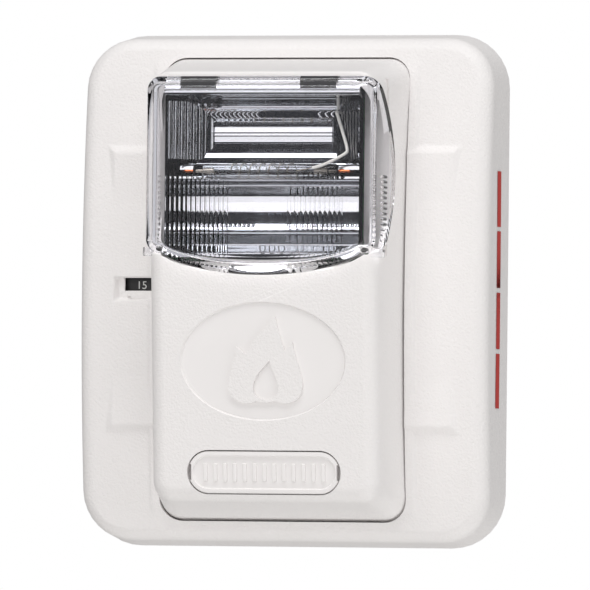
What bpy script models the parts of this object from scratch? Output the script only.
"""A wall-mounted horn strobe, modelled in Blender as an assembly of separate pieces.

Frame: +Z is up, the front faces -Y, and the wall is the plane Y = 0. The origin is the
centre of the mounting plate's back. Sizes below are in millimetres, and "depth" is the
distance out from the wall, so a point at a given depth has Y = -depth.
"""

import math

import bmesh
import bpy
from mathutils import Matrix, Vector

MM = 0.001
GAP = 0.3

# Faceplate
PLATE_HALF_WIDTH = 59.8
PLATE_HALF_HEIGHT = 71.3
PLATE_CORNER = 15.0
PLATE_WALL = 2.2
PLATE_CROWN = 20.0
PLATE_DOME_RADIUS = 430.0
PLATE_FLARE = 1.3
PLATE_EDGE_RADIUS = 4.5

# Centre housing
HOUSING_HALF_WIDTH = 36.1
HOUSING_HALF_HEIGHT = 64.6
HOUSING_BACK = 9.4
HOUSING_WALL = 2.0
HOUSING_FRONT_HALF_WIDTH = 32.6
HOUSING_FRONT_LOW = -59.4
HOUSING_FRONT_HIGH = 59.4
HOUSING_EDGE_RADIUS = 4.5
HOUSING_TOP_EDGE_RADIUS = 1.0
HOUSING_FRONT_CORNER = 5.8
HOUSING_FRONT = 41.3
HOUSING_SLOPE = 0.083
BREAK_HEIGHT = 9.0
UPPER_CORNER_HEIGHT = 49.0
FLANGE_LIP = 1.4
FLANGE_THICKNESS = 1.5
OPENING_HALF_WIDTH = 35.9
OPENING_HALF_HEIGHT = 64.7

# Strobe lens, and the round notch that it fills across the housing
LENS_FRONT = 44.0
LENS_WALL = 1.8
LENS_TOP = 58.5
LENS_FRONT_HALF_WIDTH = 29.4
LENS_SHOULDER_HALF_WIDTH = 32.8
LENS_SHOULDER_DEPTH = 42.0
LENS_SHOULDER_CORNER = 4.0
LENS_SIDE_SPREAD = 0.26
LENS_LIP_END = 9.4
LENS_LIP_DROP = 5.4
LENS_LIP_DEPTH = 12.0
LENS_LIP_HALF_WIDTH = 28.0
NOTCH_RADIUS = 42.6
NOTCH_CENTRE_DEPTH = 74.6
NOTCH_CENTRE_HEIGHT = 31.0

# Reflector and flash tube
REFLECTOR_HALF_WIDTH = 27.8
REFLECTOR_WALL = 1.2
TUBE_HEIGHT = 32.0
TUBE_DEPTH = 36.6
TUBE_RADIUS = 2.0
TUBE_HALF_LENGTH = 20.5
LEAD_X = 24.0
LEAD_RADIUS = 0.45
TRIGGER_RADIUS = 0.28
TRIGGER_TURNS = 5

# Nameplate cover
NAME_HALF_WIDTH = 21.6
NAME_HALF_HEIGHT = 5.8
NAME_HEIGHT = -51.0
NAME_BACK = 33.9
NAME_THICKNESS = 2.2
TRAY_MARGIN = 1.6

# Mounting plate and what holds the head to it
BASE_HALF_WIDTH = 50.0
BASE_HALF_HEIGHT = 60.0
BASE_THICKNESS = 2.6
WINDOW_HALF_WIDTH = 17.0
WINDOW_LOW = -36.0
WINDOW_HIGH = -14.0
SLOT_HEIGHT = 41.65
BOX_SLOT = 36.0
PEG_X = 22.0
SCREW_HEIGHT = NAME_HEIGHT
SCREW_RADIUS = 1.9
BUSHING_BORE = 2.8
BUSHING_RADIUS = 5.4
BUSHING_FRONT = 7.8
HINGE_HEIGHT = 71.2

# Terminals
TERMINAL_PITCH = 7.5
TERMINAL_X = [(i - 1.5) * TERMINAL_PITCH for i in range(4)]
TERMINAL_SCREW_HEIGHT = -6.5

# Board, rear cover and their screws
BOARD_BACK = 16.0
BOARD_THICKNESS = 1.6
BOARD_FRONT = BOARD_BACK + BOARD_THICKNESS
BOARD_POSTS = [(-26.5, 3.0), (26.5, 3.0), (-24.0, -46.0), (24.0, -46.0)]
COVER_BACK = 11.2
COVER_FRONT = 12.8
COVER_POSTS = [(-30.3, 56.6), (30.3, 56.6), (-30.3, -57.0), (30.3, -57.0)]

# Sounder, and the slots in the housing's left flank that let its sound out
SOUNDER_HEIGHT = -24.0
SOUNDER_RADIUS = 17.0
SOUND_SLOTS = 5
SOUND_SLOT_LOW = -37.0
SOUND_SLOT_PITCH = 5.2
SOUND_SLOT_HEIGHT = 2.4

# Option switch
OPTION_X = 22.0
OPTION_HEIGHT = -26.0
OPTION_PITCH = 2.54

# Candela slide and its window in the faceplate
SLIDE_CENTRE_X = -41.3
SLIDE_HALF_WIDTH = 4.6
SLIDE_DEPTH = 15.2
WINDOW_CENTRE_HEIGHT = 0.9

ROUND_STEPS = 24
CORNER_STEPS = 6
SCREW_STEPS = 16
SOUNDER_STEPS = 32
SAME_HEIGHT = 0.001


# ---------------------------------------------------------------- scene helpers


def clear_scene():
    for obj in list(bpy.data.objects):
        bpy.data.objects.remove(obj, do_unlink=True)
    for group in list(bpy.data.collections):
        bpy.data.collections.remove(group)


def new_collection(name):
    group = bpy.data.collections.new(name)
    bpy.context.scene.collection.children.link(group)
    return group


def at(x, depth, z):
    return Vector((x, -depth, z)) * MM


def material(name, colour, roughness, metallic=0.0, transmission=0.0):
    made = bpy.data.materials.new(name)
    made.use_nodes = True
    shader = made.node_tree.nodes["Principled BSDF"]
    shader.inputs["Base Color"].default_value = (*colour, 1.0)
    shader.inputs["Roughness"].default_value = roughness
    shader.inputs["Metallic"].default_value = metallic
    shader.inputs["Transmission Weight"].default_value = transmission
    return made


def new_object(name, mesh, colour=None):
    obj = bpy.data.objects.new(name, mesh)
    PARTS.objects.link(obj)
    if colour:
        mesh.materials.append(colour)
    return obj


def mesh_from(bm, name):
    bmesh.ops.recalc_face_normals(bm, faces=bm.faces)
    mesh = bpy.data.meshes.new(name)
    bm.to_mesh(mesh)
    bm.free()
    return mesh


def helper(obj):
    """Moves an object to the cutters, which no render or build shows."""
    for group in list(obj.users_collection):
        group.objects.unlink(obj)
    CUTTERS.objects.link(obj)
    obj.hide_render = True
    obj.display_type = "WIRE"
    return obj


def boolean(obj, other, operation):
    modifier = obj.modifiers.new(f"{operation.lower()} {other.name}", "BOOLEAN")
    modifier.operation = operation
    modifier.solver = "EXACT"
    modifier.object = helper(other)


def cut(obj, other):
    boolean(obj, other, "DIFFERENCE")


def join(obj, other):
    boolean(obj, other, "UNION")


def smooth(obj, degrees=35.0):
    obj.data.shade_smooth()
    obj.data.set_sharp_from_angle(angle=math.radians(degrees))
    return obj


# ---------------------------------------------------------------- solid shapes


def block(name, xs, depths, zs, colour=None, corner=0.0, along="Y"):
    """A box between the limits given, with the four edges that run along one axis rounded."""
    bm = bmesh.new()
    bmesh.ops.create_cube(bm, size=1.0)
    size = Vector((xs[1] - xs[0], depths[1] - depths[0], zs[1] - zs[0])) * MM
    bmesh.ops.scale(bm, vec=size, verts=bm.verts)
    if corner:
        axis = "XYZ".index(along)
        edges = [e for e in bm.edges if abs((e.verts[0].co - e.verts[1].co)[axis]) > size[axis] / 2]
        round_off = dict(offset=corner * MM, segments=4, profile=0.5, affect="EDGES")
        bmesh.ops.bevel(bm, geom=edges, **round_off)
    obj = new_object(name, mesh_from(bm, name), colour)
    obj.location = at(sum(xs) / 2, sum(depths) / 2, sum(zs) / 2)
    return obj


def rod(name, x, z, depths, radius, colour=None, steps=ROUND_STEPS):
    """A cylinder that runs out from the wall."""
    bm = bmesh.new()
    bmesh.ops.create_cone(
        bm,
        cap_ends=True,
        segments=steps,
        radius1=radius * MM,
        radius2=radius * MM,
        depth=(depths[1] - depths[0]) * MM,
        matrix=Matrix.Rotation(math.radians(90), 4, "X"),
    )
    obj = new_object(name, mesh_from(bm, name), colour)
    obj.location = at(x, sum(depths) / 2, z)
    return smooth(obj)


def cross_rod(name, xs, depth, z, radius, colour=None, steps=ROUND_STEPS):
    """A cylinder that runs from left to right."""
    bm = bmesh.new()
    bmesh.ops.create_cone(
        bm,
        cap_ends=True,
        segments=steps,
        radius1=radius * MM,
        radius2=radius * MM,
        depth=(xs[1] - xs[0]) * MM,
        matrix=Matrix.Rotation(math.radians(90), 4, "Y"),
    )
    obj = new_object(name, mesh_from(bm, name), colour)
    obj.location = at(sum(xs) / 2, depth, z)
    return smooth(obj)


def turned(name, profile, x, z, colour, steps=ROUND_STEPS):
    """A turned piece on an axis out from the wall. The profile runs from its front (radius, depth)."""
    mesh = bpy.data.meshes.new(name)
    points = [(radius * MM, 0.0, depth * MM) for radius, depth in profile]
    mesh.from_pydata(points, [(i, i + 1) for i in range(len(points) - 1)], [])
    obj = new_object(name, mesh, colour)
    obj.rotation_euler = (math.radians(90), 0.0, 0.0)
    obj.location = at(x, 0.0, z)
    screw = obj.modifiers.new("turn", "SCREW")
    screw.axis = "Z"
    screw.steps = screw.render_steps = steps
    screw.use_merge_vertices = True
    screw.merge_threshold = 0.00002
    return obj


def wire(name, points, radius, colour, resolution=1):
    """A round wire through the points, each given as (x, depth, z)."""
    curve = bpy.data.curves.new(name, "CURVE")
    curve.dimensions = "3D"
    curve.bevel_depth = radius * MM
    curve.bevel_resolution = resolution
    curve.use_fill_caps = True
    spline = curve.splines.new("POLY")
    spline.points.add(len(points) - 1)
    for point, place in zip(spline.points, points):
        point.co = (*at(*place), 1.0)
    obj = bpy.data.objects.new(name, curve)
    PARTS.objects.link(obj)
    curve.materials.append(colour)
    return obj


def strip(name, side_points, xs, colour=None):
    """A shape whose side outline, in (depth, z), runs from one x to the other."""
    bm = bmesh.new()
    verts = [bm.verts.new(at(xs[0], depth, z)) for depth, z in side_points]
    face = bm.faces.new(verts)
    pushed = bmesh.ops.extrude_face_region(bm, geom=[face])["geom"]
    moved = [v for v in pushed if isinstance(v, bmesh.types.BMVert)]
    bmesh.ops.translate(bm, verts=moved, vec=Vector(((xs[1] - xs[0]) * MM, 0, 0)))
    return new_object(name, mesh_from(bm, name), colour)


def arc(centre, radius, start, end, steps):
    """Points on an arc, with the angles in degrees."""
    angles = [math.radians(start + (end - start) * i / steps) for i in range(steps + 1)]
    return [(centre[0] + radius * math.cos(a), centre[1] + radius * math.sin(a)) for a in angles]


def obround(name, x, z, half_length, half_height, depths, colour=None, upright=False):
    """A flat piece with two round ends, lying along X or, if upright, along Z."""
    reach = half_length - half_height
    points = arc((reach, 0.0), half_height, -90, 90, 8)
    points += arc((-reach, 0.0), half_height, 90, 270, 8)
    if upright:
        points = [(-b, a) for a, b in points]
    bm = bmesh.new()
    face = bm.faces.new([bm.verts.new(at(a, 0.0, b)) for a, b in points])
    pushed = bmesh.ops.extrude_face_region(bm, geom=[face])["geom"]
    moved = [v for v in pushed if isinstance(v, bmesh.types.BMVert)]
    bmesh.ops.translate(bm, verts=moved, vec=at(0, depths[1] - depths[0], 0))
    obj = new_object(name, mesh_from(bm, name), colour)
    obj.location = at(x, depths[0], z)
    return obj


# ---------------------------------------------------------------- lofted shells


def ring(half_width, low, high, radius, depth, side_levels=(), lip=0.0):
    """The points of a rounded rectangle, anticlockwise from the front.

    depth is a number or a function of height. side_levels are extra heights on both
    sides, and lip bows the middle of the bottom edge downwards by that much.
    """
    depth_at = depth if callable(depth) else lambda z: depth
    across = [0.75, 0.5, 0.25, 0.0, -0.25, -0.5, -0.75]
    inner = half_width - radius
    points = [(half_width, low + radius)] + [(half_width, z) for z in side_levels]
    points += arc((inner, high - radius), radius, 0, 90, CORNER_STEPS)
    points += [(inner * part, high) for part in across]
    points += arc((-inner, high - radius), radius, 90, 180, CORNER_STEPS)
    points += [(-half_width, z) for z in reversed(side_levels)]
    points += arc((-inner, low + radius), radius, 180, 270, CORNER_STEPS)
    points += [(-inner * part, low) for part in across]
    points += arc((inner, low + radius), radius, 270, 360, CORNER_STEPS)[:-1]
    middle = (low + high) / 2
    placed = []
    for x, z in points:
        part = min(1.0, abs(x) / LENS_LIP_HALF_WIDTH)
        sag = lip * math.cos(math.pi / 2 * part) if z < middle else 0.0
        placed.append(at(x, depth_at(z), z - sag))
    return placed


def loft(name, rings, colour=None, closed=False, split_height=None):
    """A closed solid through unlike rings: a tube that meets itself, or a cup with two caps.

    A cup whose caps bend at split_height has sides that twist, so it is made of triangles.
    """
    bm = bmesh.new()
    rows = [[bm.verts.new(point) for point in points] for points in rings]
    pairs = list(zip(rows, rows[1:])) + ([(rows[-1], rows[0])] if closed else [])
    count = len(rows[0])
    for near, far in pairs:
        for j in range(count):
            k = (j + 1) % count
            bm.faces.new((near[j], near[k], far[k], far[j]))
    if not closed:
        for row in (rows[0], rows[-1]):
            bm.faces.new(row)
            if split_height is not None:
                ends = [v for v in row if abs(v.co.z / MM - split_height) < SAME_HEIGHT]
                bmesh.ops.connect_verts(bm, verts=ends)
    if split_height is not None:
        bmesh.ops.triangulate(bm, faces=bm.faces)
    return new_object(name, mesh_from(bm, name), colour)


def plate_depth(z):
    """How far the faceplate's domed front stands from the wall at a height."""
    return PLATE_CROWN - (PLATE_DOME_RADIUS - math.sqrt(PLATE_DOME_RADIUS**2 - z * z))


def housing_front(z):
    """The housing's front leans back below the lens."""
    return HOUSING_FRONT + HOUSING_SLOPE * min(0.0, z - BREAK_HEIGHT)


# ---------------------------------------------------------------- pieces of the head

PLATE_LEVELS = [-52, -44, -35, -26, -17, -8, 0, 8, 17, 26, 35, 44, 52]
HOUSING_LEVELS = [-40, -20, BREAK_HEIGHT, 32]


def plate_ring(inset, depth, corner=None):
    return ring(
        PLATE_HALF_WIDTH - inset,
        inset - PLATE_HALF_HEIGHT,
        PLATE_HALF_HEIGHT - inset,
        corner or PLATE_CORNER - inset,
        depth,
        PLATE_LEVELS,
    )


def opening_ring(back):
    """The faceplate's opening, which follows the housing's flank with a gap round it."""
    return ring(
        OPENING_HALF_WIDTH,
        -OPENING_HALF_HEIGHT,
        OPENING_HALF_HEIGHT,
        6.5,
        lambda z: plate_depth(z) - back,
        PLATE_LEVELS,
    )


def faceplate():
    edge = PLATE_EDGE_RADIUS
    wall = PLATE_WALL
    outer = [plate_ring(0.0, GAP)]
    for angle in (0, 30, 60, 90):
        inset = PLATE_FLARE + edge * (1 - math.cos(math.radians(angle)))
        drop = edge * (1 - math.sin(math.radians(angle)))
        outer.append(plate_ring(inset, lambda z, drop=drop: plate_depth(z) - drop))
    inner = [plate_ring(PLATE_FLARE + edge, lambda z: plate_depth(z) - wall)]
    inner.append(plate_ring(PLATE_FLARE + wall, lambda z: plate_depth(z) - edge - 1.0))
    inner.append(plate_ring(wall, GAP))
    rings = outer + [opening_ring(0.0), opening_ring(wall)] + inner
    plate = loft("faceplate", rings, OFF_WHITE, closed=True)
    window = (WINDOW_CENTRE_HEIGHT - 1.7, WINDOW_CENTRE_HEIGHT + 1.7)
    cut(plate, block("candela_window_cutter", (-45.2, -37.4), (10, 25), window))
    return smooth(plate)


def housing_ring(half_width, low, high, corner, depth):
    return ring(half_width, low, high, corner, depth, HOUSING_LEVELS)


def housing_shell():
    """The drafted box of the housing, with a flange at its back and an open back."""
    half, tall, back = HOUSING_HALF_WIDTH, HOUSING_HALF_HEIGHT, HOUSING_BACK
    front_half, low, high = HOUSING_FRONT_HALF_WIDTH, HOUSING_FRONT_LOW, HOUSING_FRONT_HIGH
    wall, edge, top_edge = HOUSING_WALL, HOUSING_EDGE_RADIUS, HOUSING_TOP_EDGE_RADIUS
    lip = FLANGE_LIP

    def front_less(drop):
        """The front surface moved back, by less at the upper corners, whose edge is sharper."""
        upper = drop * top_edge / edge
        return lambda z: housing_front(z) - (drop if z < UPPER_CORNER_HEIGHT else upper)

    inside = [
        housing_ring(
            front_half - edge, low + edge, high - wall, 1.5, lambda z: housing_front(z) - wall
        ),
        housing_ring(
            front_half - wall, low + wall, high - wall - 0.2, 4.0, lambda z: housing_front(z) - edge
        ),
        housing_ring(half - wall, wall - tall, tall - wall, 4.5, back),
    ]
    flange_front = back + FLANGE_THICKNESS
    outside = [
        housing_ring(half + lip, -tall - lip, tall + lip, 8.0, back),
        housing_ring(half + lip, -tall - lip, tall + lip, 8.0, flange_front),
        housing_ring(half, -tall, tall, 6.5, flange_front),
    ]
    for angle in (0, 30, 60, 90):
        pull = 1 - math.cos(math.radians(angle))
        drop = edge * (1 - math.sin(math.radians(angle)))
        inset = edge * pull
        outside.append(
            housing_ring(
                front_half - inset,
                low + inset,
                high - top_edge * pull,
                HOUSING_FRONT_CORNER - 0.9 * inset,
                front_less(drop),
            )
        )
    return loft("front_housing", inside + outside, OFF_WHITE, split_height=BREAK_HEIGHT)


def notch_cylinder(name, radius):
    """The round across the housing that the lens's back edge follows."""
    return cross_rod(name, (-45, 45), NOTCH_CENTRE_DEPTH, NOTCH_CENTRE_HEIGHT, radius, steps=64)


def front_housing():
    housing = housing_shell()
    notch = lens_solid("lens_notch_cutter", -GAP)
    boolean(notch, notch_cylinder("notch_cylinder_cutter", NOTCH_RADIUS + GAP), "INTERSECT")
    for i, (x, z) in enumerate(BOARD_POSTS):
        reach = (BOARD_FRONT + GAP, housing_front(z) - 1.0)
        join(housing, rod(f"board_post_{i}", x, z, reach, 2.6))
        cut(housing, rod(f"board_post_hole_{i}", x, z, (BOARD_BACK, 26.0), 1.5))
    for i, (x, z) in enumerate(COVER_POSTS):
        join(housing, rod(f"cover_post_{i}", x, z, (COVER_FRONT + GAP, 24.0), 3.2))
        cut(housing, rod(f"cover_post_hole_{i}", x, z, (COVER_BACK, 21.0), 1.5))
    tray_half = NAME_HALF_HEIGHT + TRAY_MARGIN
    tray = (NAME_HEIGHT - tray_half, NAME_HEIGHT + tray_half)
    join(housing, block("nameplate_tray", (-24, 24), (NAME_BACK - 1.9, NAME_BACK + 1.0), tray))
    join(housing, rod("screw_well_body", 0, SCREW_HEIGHT, (22.0, NAME_BACK - 1.0), 6.4))
    cut(housing, rod("screw_well_bore", 0, SCREW_HEIGHT, (24.0, 40.0), 4.8))
    cut(housing, rod("screw_well_hole", 0, SCREW_HEIGHT, (20.0, 30.0), 2.4))
    pocket = (NAME_HALF_WIDTH + GAP, NAME_HALF_HEIGHT + GAP)
    cut(housing, obround("nameplate_pocket", 0, NAME_HEIGHT, *pocket, (NAME_BACK - GAP, 42.0)))
    cut(housing, notch)
    for i in range(SOUND_SLOTS):
        low = SOUND_SLOT_LOW + SOUND_SLOT_PITCH * i
        slot = (low, low + SOUND_SLOT_HEIGHT)
        cut(housing, block(f"sound_slot_{i}", (-40, -25), (23.5, 33.0), slot, corner=0.9, along="X"))
    return smooth(housing)


def lens_ring(half_width, low, high, corner, depth, lip):
    return ring(half_width, low, high, corner, depth, [NOTCH_CENTRE_HEIGHT], lip)


def lens_solid(name, inset, colour=None):
    """The lens filled in, or its inside when inset by the wall."""
    front, low, high = LENS_FRONT - inset, LENS_LIP_END + inset, LENS_TOP - inset
    shoulder, corner = LENS_SHOULDER_DEPTH - inset, LENS_SHOULDER_CORNER - inset
    half = LENS_SHOULDER_HALF_WIDTH - inset
    pane = LENS_FRONT_HALF_WIDTH - inset
    lip = LENS_LIP_DROP * (1 - inset / LENS_LIP_DEPTH)
    back_depth = 20.0 if inset else 27.0
    spread = LENS_SIDE_SPREAD * (shoulder - back_depth)
    rings = [
        lens_ring(half + spread, low, high, corner, back_depth, lip),
        lens_ring(half, low, high, corner, shoulder, lip),
        lens_ring((half + pane) / 2 + 0.5, low + 0.5, high - 0.5, corner, front - 0.7, lip),
        lens_ring(pane, low + 1.6, high - 1.6, corner - 0.8, front, lip),
    ]
    return loft(name, rings, colour)


def lens():
    """A clear shell, open at the back, whose edge follows the round notch."""
    shell = lens_solid("lens", 0.0, CLEAR)
    boolean(shell, notch_cylinder("lens_back_limit", NOTCH_RADIUS), "INTERSECT")
    cut(shell, lens_solid("lens_inside", LENS_WALL))
    return smooth(shell)


def nameplate_cover():
    front = NAME_BACK + NAME_THICKNESS
    size = (NAME_HALF_WIDTH, NAME_HALF_HEIGHT)
    cover = obround("nameplate_cover", 0, NAME_HEIGHT, *size, (NAME_BACK, front), OFF_WHITE)
    border = obround("nameplate_border", 0, NAME_HEIGHT, 19.6, 4.2, (front - 0.5, front + 3))
    cut(cover, border)
    for side in (-1, 1):
        x = side * NAME_HALF_WIDTH
        notch = block(
            f"pry_notch_{side}",
            (min(x, x - side * 0.9), max(x, x - side * 0.9)),
            (NAME_BACK - 1, front + 1),
            (NAME_HEIGHT - 1.6, NAME_HEIGHT + 1.6),
        )
        cut(cover, notch)
    return cover


def catmull_rom(a, b, c, d, t):
    square = 2 * a - 5 * b + 4 * c - d
    cube = 3 * b - a - 3 * c + d
    return 0.5 * (2 * b + (c - a) * t + square * t**2 + cube * t**3)


def curve_through(points, steps):
    """A smooth run of points through the ones given, each span split by a Catmull-Rom rule."""
    ends = [points[0]] + points + [points[-1]]
    smooth_points = []
    for p0, p1, p2, p3 in zip(ends, ends[1:], ends[2:], ends[3:]):
        for i in range(steps):
            smooth_points.append(
                tuple(catmull_rom(*four, i / steps) for four in zip(p0, p1, p2, p3))
            )
    return smooth_points + [points[-1]]


def offset_line(points, distance):
    """The line moved towards the wall along its own normals."""
    moved = []
    for i, (depth, z) in enumerate(points):
        before, after = points[max(i - 1, 0)], points[min(i + 1, len(points) - 1)]
        run = Vector((after[0] - before[0], after[1] - before[1])).normalized()
        moved.append((depth + run.y * distance, z - run.x * distance))
    return moved


def reflector():
    """Two parabolic troughs, one above the tube and one below, closed at both ends."""
    upper = [(40.6, 54.2), (36.6, 53.0), (32.0, 50.2), (29.4, 45.2), (29.6, 40.0), (31.6, 36.0)]
    middle = [(33.4, 33.4), (33.4, 30.6)]
    lower = [(31.2, 27.6), (29.4, 23.0), (30.4, 18.0), (34.4, 14.6), (38.6, 13.0)]
    key_points = upper + middle + lower
    mirror_side = curve_through(key_points, 2)
    back_side = offset_line(mirror_side, REFLECTOR_WALL)
    half = REFLECTOR_HALF_WIDTH
    trough = strip("reflector", mirror_side + back_side[::-1], (-half, half), CHROME)
    end_outline = back_side + [(39.4, 12.6), (40.6, 14.4), (40.6, 53.4)]
    for side in (-1, 1):
        xs = sorted((side * half, side * (half - REFLECTOR_WALL)))
        join(trough, strip(f"reflector_end_{side}", end_outline, xs))
        cut(trough, rod(f"lead_hole_{side}", side * LEAD_X, TUBE_HEIGHT, (25.0, 36.0), 1.1, steps=12))
    cut(trough, rod("trigger_hole", 18.9, 48.4, (22.0, 35.0), 0.9, steps=12))
    return trough


def end_lead(name, side):
    start = side * (TUBE_HALF_LENGTH + GAP)
    turn = side * LEAD_X
    points = [
        (start, TUBE_DEPTH, TUBE_HEIGHT),
        (turn - side * 1.0, TUBE_DEPTH, TUBE_HEIGHT),
        (turn - side * 0.3, TUBE_DEPTH - 0.3, TUBE_HEIGHT),
        (turn, TUBE_DEPTH - 1.0, TUBE_HEIGHT),
        (turn, BOARD_FRONT + GAP, TUBE_HEIGHT),
    ]
    return wire(name, points, LEAD_RADIUS, COPPER)


def trigger_wire():
    """Open turns on the flash tube, then a span up and back through the reflector."""
    turn_radius = TUBE_RADIUS + GAP + TRIGGER_RADIUS
    steps = 10
    points = []
    for i in range(TRIGGER_TURNS * steps + 1):
        angle = 2 * math.pi * i / steps
        x = -9.0 + 18.4 * i / (TRIGGER_TURNS * steps)
        depth = TUBE_DEPTH + turn_radius * math.cos(angle)
        points.append((x, depth, TUBE_HEIGHT + turn_radius * math.sin(angle)))
    points += [(16.0, 38.4, 33.6), (22.6, 38.0, 36.4), (23.4, 37.4, 37.6)]
    points += [(19.4, 34.0, 47.6), (18.9, 32.6, 48.4), (18.9, BOARD_FRONT + GAP, 48.4)]
    return wire("trigger_wire", points, TRIGGER_RADIUS, WHITE_SLEEVE)


def flash_parts():
    length = (-TUBE_HALF_LENGTH, TUBE_HALF_LENGTH)
    cross_rod("flash_tube", length, TUBE_DEPTH, TUBE_HEIGHT, TUBE_RADIUS, CLEAR)
    end_lead("cathode_lead", -1)
    end_lead("anode_lead", 1)
    trigger_wire()
    low = BOARD_FRONT + GAP
    cross_rod("flash_capacitor", (-18, 18), low + 7.5, 2.0, 7.5, BLACK_SLEEVE)
    cross_rod("trigger_coil", (8, 18), low + 3.0, 41.0, 3.0, COPPER, steps=16)
    drum = [(0, low + 6), (5.5, low + 6), (5.5, low + 5), (4, low + 4.6)]
    drum += [(4, low + 1.4), (5.5, low + 1), (5.5, low), (0, low)]
    turned("inductor", drum, -12.0, 30.0, FERRITE)


# ---------------------------------------------------------------- board and sounder


def main_board():
    depths = (BOARD_BACK, BOARD_FRONT)
    board = block("main_board", (-29, 29), depths, (-53, 53), BOARD_GREEN, corner=2.0)
    for i, (x, z) in enumerate(BOARD_POSTS):
        cut(board, rod(f"board_hole_{i}", x, z, (14, 20), 1.7, steps=12))
    cut(board, rod("board_screw_hole", 0, SCREW_HEIGHT, (14, 20), 4.0))
    return board


def pan_screw(name, x, z, head_depths, tip_depth, head_radius, shank_radius):
    """A slotted screw whose head is at the wall side when its first head depth is the smaller."""
    under, top = head_depths
    profile = [(0, tip_depth), (shank_radius, tip_depth), (shank_radius, under)]
    profile += [(head_radius, under), (head_radius, top), (0, top)]
    if tip_depth < under:
        profile = profile[::-1]
    screw = turned(name, profile, x, z, STEEL, SCREW_STEPS)
    sign = 1 if top > under else -1
    slot = sorted((top - sign * 0.6, top + sign))
    cut(screw, block(f"{name}_slot", (x - 5, x + 5), slot, (z - 0.35, z + 0.35)))
    return screw


def board_and_cover_screws():
    for i, (x, z) in enumerate(BOARD_POSTS, start=1):
        pan_screw(f"board_screw_{i}", x, z, (BOARD_BACK - GAP, 14.2), 24.0, 2.5, 1.2)
    for i, (x, z) in enumerate(COVER_POSTS, start=1):
        pan_screw(f"rear_screw_{i}", x, z, (COVER_BACK - GAP, 9.4), 19.0, 2.5, 1.2)


def rear_cover():
    depths = (COVER_BACK, COVER_FRONT)
    cover = block("rear_cover", (-33.3, 33.3), depths, (-61.4, 61.4), GREY_PLASTIC, corner=4.0)
    for i, (x, z) in enumerate(COVER_POSTS):
        cut(cover, rod(f"cover_hole_{i}", x, z, (9, 14), 1.6, steps=12))
    cut(cover, rod("cover_screw_hole", 0, SCREW_HEIGHT, (9, 14), 2.6))
    cut(cover, block("contact_window", (-15, 15), (9, 14), (-3.5, 6.5), corner=1.0))
    option_xs = (OPTION_X - 5.6, OPTION_X + 5.6)
    option_zs = (OPTION_HEIGHT - 4, OPTION_HEIGHT + 4)
    cut(cover, block("option_window", option_xs, (9, 14), option_zs))
    for side in (-1, 1):
        x = side * PEG_X
        reach = (4.2, COVER_BACK + 0.6)
        join(cover, block(f"hanger_{side}", (x - 4, x + 4), reach, (54.5, 57.0)))
    return cover


def flat_disc(radius, low, thickness):
    """The profile of a plain disc, from its front."""
    high = low + thickness
    return [(0, high), (radius, high), (radius, low), (0, low)]


def sounder():
    """A cup with a ledge, the piezo disc on the ledge, and a cap with a short nozzle."""
    x, z, low = 0.0, SOUNDER_HEIGHT, BOARD_FRONT + GAP
    outer, inner = SOUNDER_RADIUS, SOUNDER_RADIUS - 1.4
    ledge = inner - 1.6
    body = [(outer, low + 9), (outer, low), (0, low), (0, low + 1.2), (ledge, low + 1.2)]
    body += [(ledge, low + 4), (inner, low + 4), (inner, low + 9), (outer, low + 9)]
    turned("sounder_body", body, x, z, BLACK_PLASTIC, SOUNDER_STEPS)
    disc_low = low + 4 + GAP
    disc = flat_disc(inner - GAP, disc_low, 0.4)
    turned("piezo_disc", disc, x, z, BRASS, SOUNDER_STEPS)
    ceramic = flat_disc(9.0, disc_low + 0.4 + GAP, 0.3)
    turned("piezo_ceramic", ceramic, x, z, CERAMIC, SOUNDER_STEPS)
    cap_low = low + 9 + GAP
    cap = [(3, cap_low + 3.4), (4.2, cap_low + 3.4), (4.2, cap_low + 1.4)]
    cap += [(outer, cap_low + 1.4), (outer, cap_low), (3, cap_low), (3, cap_low + 3.4)]
    turned("sounder_cap", cap, x, z, BLACK_PLASTIC, SOUNDER_STEPS)


def captive_screw():
    z, shank = SCREW_HEIGHT, SCREW_RADIUS
    profile = [(0, 27.2), (3.6, 27.2), (4.2, 26.4), (4.2, 24.3)]
    profile += [(shank, 24.3), (shank, 5.4), (1.2, 4.6), (0, 4.6)]
    screw = turned("captive_screw", profile, 0, z, STEEL, SCREW_STEPS)
    cut(screw, block("captive_slot", (-5, 5), (26.2, 29), (z - 0.5, z + 0.5)))
    hole = shank + GAP
    washer = [(hole, 21.4), (3.5, 21.4), (3.5, 20.6), (hole, 20.6), (hole, 21.4)]
    turned("retaining_washer", washer, 0, z, STEEL, SCREW_STEPS)


def option_switch():
    x, z = OPTION_X, OPTION_HEIGHT
    depths = (10.8, BOARD_BACK - GAP)
    body = block("option_switch", (x - 5, x + 5), depths, (z - 3.4, z + 3.4), RED_PLASTIC)
    for i in range(3):
        centre = x + (i - 1) * OPTION_PITCH
        track = (centre - 0.9, centre + 0.9)
        cut(body, block(f"option_track_{i}", track, (9, 12.4), (z - 2.4, z + 2.4)))
        slider = (centre - 0.6, centre + 0.6)
        block(f"option_slider_{i + 1}", slider, (10.2, 12.1), (z - 2.1, z - 0.6), WHITE_PLASTIC)


def contact_springs():
    """Bent strips from the board to the terminal plates."""
    top = [(15.7, 5.6), (12.2, 5.6), (7.4, 1.6), (7.4, 0.0)]
    underside = [(7.8, 0.0), (7.8, 1.4), (12.6, 5.2), (15.7, 5.2)]
    for i, x in enumerate(TERMINAL_X, start=1):
        strip(f"contact_spring_{i}", top + underside, (x - 1.2, x + 1.2), BRASS)


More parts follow.
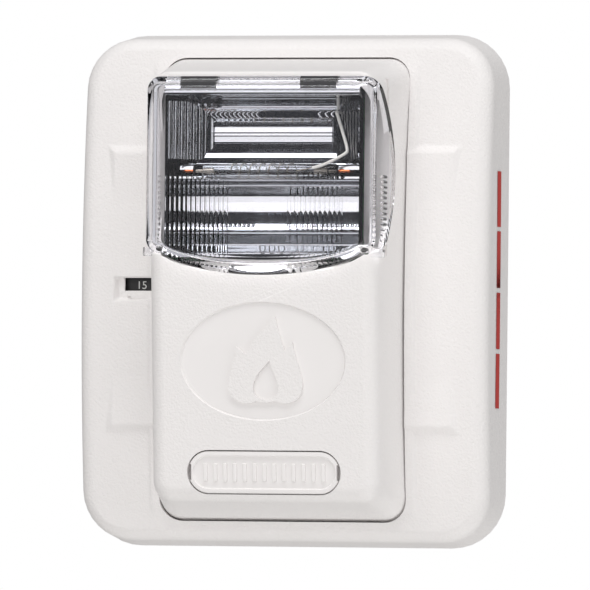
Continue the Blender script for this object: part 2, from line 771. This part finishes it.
def candela_selector():
    """A printed slide behind the window, with a thumb tab reached from behind."""
    x, half = SLIDE_CENTRE_X, SLIDE_HALF_WIDTH
    xs, depths = (x - half, x + half), (SLIDE_DEPTH, SLIDE_DEPTH + 1.2)
    slide = block("candela_selector", xs, depths, (-5.0, 23.0), BLACK_PLASTIC, corner=0.8)
    join(slide, block("candela_tab", (x - 2.5, x + 0.5), (6.0, SLIDE_DEPTH + 0.4), (-3.0, 0.0)))
    return slide


# ---------------------------------------------------------------- the fixed base


def mounting_plate():
    half, tall, thick = BASE_HALF_WIDTH, BASE_HALF_HEIGHT, BASE_THICKNESS
    through = (-2, thick + 2)
    plate = block("mounting_plate", (-half, half), (0, thick), (-tall, tall), GREY_PLASTIC, corner=6.0)
    window = (-WINDOW_HALF_WIDTH, WINDOW_HALF_WIDTH)
    cut(plate, block("wire_window", window, through, (WINDOW_LOW, WINDOW_HIGH), corner=2.0))
    for sign in (-1, 1):
        cut(plate, obround(f"gang_slot_{sign}", 0, sign * SLOT_HEIGHT, 4.6, 2.3, through))
        for side in (-1, 1):
            x, z = side * BOX_SLOT, sign * BOX_SLOT
            cut(plate, obround(f"box_slot_{sign}_{side}", x, z, 5.0, 2.5, through))
        xs = (sign * PEG_X - 5, sign * PEG_X + 5)
        join(plate, block(f"peg_{sign}", xs, (thick - 0.6, 8.4), (51.0, 54.0), corner=0.8))
    return plate


def screw_bushing():
    """The brass bushing on the mounting plate that the captive screw ends in."""
    bore, outer = BUSHING_BORE, BUSHING_RADIUS
    low, high = BASE_THICKNESS + GAP, BUSHING_FRONT
    profile = [(bore, high), (outer, high), (outer, low), (bore, low), (bore, high)]
    turned("screw_bushing", profile, 0, SCREW_HEIGHT, BRASS)


def terminals():
    low, high = BASE_THICKNESS + GAP, 9.2
    half = 2 * TERMINAL_PITCH
    body = block("terminal_block", (-half, half), (low, high), (-11.0, 7.0), BLACK_PLASTIC)
    z = TERMINAL_SCREW_HEIGHT
    for i, x in enumerate(TERMINAL_X, start=1):
        cut(body, block(f"terminal_well_{i}", (x - 3.1, x + 3.1), (6.0, 12.0), (z - 3.4, 5.4)))
        cut(body, rod(f"terminal_bore_{i}", x, z, (3.8, 8.0), 1.5, steps=12))
        cut(body, block(f"wire_way_{i}", (x - 1.6, x + 1.6), (6.4, 12.0), (-14, z)))
        xs = (x - 2.7, x + 2.7)
        plate = block(f"terminal_plate_{i}", xs, (6.3, 7.1), (z - 2.7, 5.0), BRASS)
        cut(plate, rod(f"terminal_plate_hole_{i}", x, z, (5, 8), 1.5, steps=12))
        pan_screw(f"terminal_screw_{i}", x, z, (7.4, 9.0), 4.2, 2.3, 1.2)


# ---------------------------------------------------------------- assembly


def empty(name, place, parent=None):
    node = bpy.data.objects.new(name, None)
    node.empty_display_size = 0.01
    PARTS.objects.link(node)
    node.location = place
    if parent:
        node.parent = parent
        node.location = place - parent["place"]
    node["place"] = place
    return node


def carry(parent, names):
    """Parents the pieces to an empty, and keeps them where they are."""
    for name in names:
        obj = bpy.data.objects[name]
        obj.location = obj.location - Vector(parent["place"])
        obj.parent = parent


def group_by_motion():
    base = empty("base", Vector((0, 0, 0)))
    head = empty("head_hinge", at(0, 0, HINGE_HEIGHT))
    nameplate = empty("nameplate_slide", at(0, NAME_BACK, NAME_HEIGHT))
    screw = empty("captive_screw_axis", at(0, 0, SCREW_HEIGHT))
    candela = empty("candela_slide", at(SLIDE_CENTRE_X, SLIDE_DEPTH, 0))
    numbered = {f"option_slide_{i}": f"option_slider_{i}" for i in range(1, 4)}
    carry(nameplate, ["nameplate_cover"])
    carry(screw, ["captive_screw"])
    carry(candela, ["candela_selector"])
    for name, slider in numbered.items():
        axis = empty(name, Vector(bpy.data.objects[slider].location))
        carry(axis, [slider])
    for i, x in enumerate(TERMINAL_X, start=1):
        axis = empty(f"terminal_axis_{i}", at(x, 0, TERMINAL_SCREW_HEIGHT))
        carry(axis, [f"terminal_screw_{i}"])
        carry(base, [f"terminal_plate_{i}"])
        carry(base, [axis.name])
    carry(base, ["mounting_plate", "screw_bushing", "terminal_block"])
    for obj in list(PARTS.objects):
        if obj.parent is None and obj not in (base, head):
            carry(head, [obj.name])


def build():
    faceplate()
    front_housing()
    lens()
    nameplate_cover()
    reflector()
    flash_parts()
    main_board()
    board_and_cover_screws()
    rear_cover()
    sounder()
    captive_screw()
    option_switch()
    contact_springs()
    candela_selector()
    mounting_plate()
    screw_bushing()
    terminals()
    group_by_motion()


clear_scene()
PARTS = new_collection("horn_strobe")
CUTTERS = new_collection("cutters")
OFF_WHITE = material("off-white moulded plastic", (0.86, 0.85, 0.83), 0.5)
CLEAR = material("clear polycarbonate", (0.95, 0.97, 1.0), 0.05, transmission=1.0)
CHROME = material("vacuum-metallised reflector", (0.9, 0.9, 0.92), 0.06, metallic=1.0)
GREY_PLASTIC = material("grey moulded plastic", (0.55, 0.55, 0.54), 0.55)
BLACK_PLASTIC = material("black moulded plastic", (0.02, 0.02, 0.02), 0.5)
WHITE_PLASTIC = material("white moulded plastic", (0.9, 0.9, 0.9), 0.4)
RED_PLASTIC = material("red moulded plastic", (0.5, 0.03, 0.02), 0.4)
WHITE_SLEEVE = material("white wire insulation", (0.85, 0.85, 0.85), 0.4)
BLACK_SLEEVE = material("black capacitor sleeve", (0.03, 0.03, 0.035), 0.3)
COPPER = material("enamelled copper wire", (0.72, 0.32, 0.15), 0.3, metallic=1.0)
BRASS = material("stamped brass", (0.78, 0.6, 0.3), 0.3, metallic=1.0)
STEEL = material("zinc-plated steel", (0.62, 0.62, 0.6), 0.3, metallic=1.0)
FERRITE = material("sintered ferrite", (0.05, 0.05, 0.055), 0.6)
CERAMIC = material("silvered piezo ceramic", (0.8, 0.79, 0.76), 0.4)
BOARD_GREEN = material("solder-masked circuit board", (0.02, 0.16, 0.06), 0.35)
build()
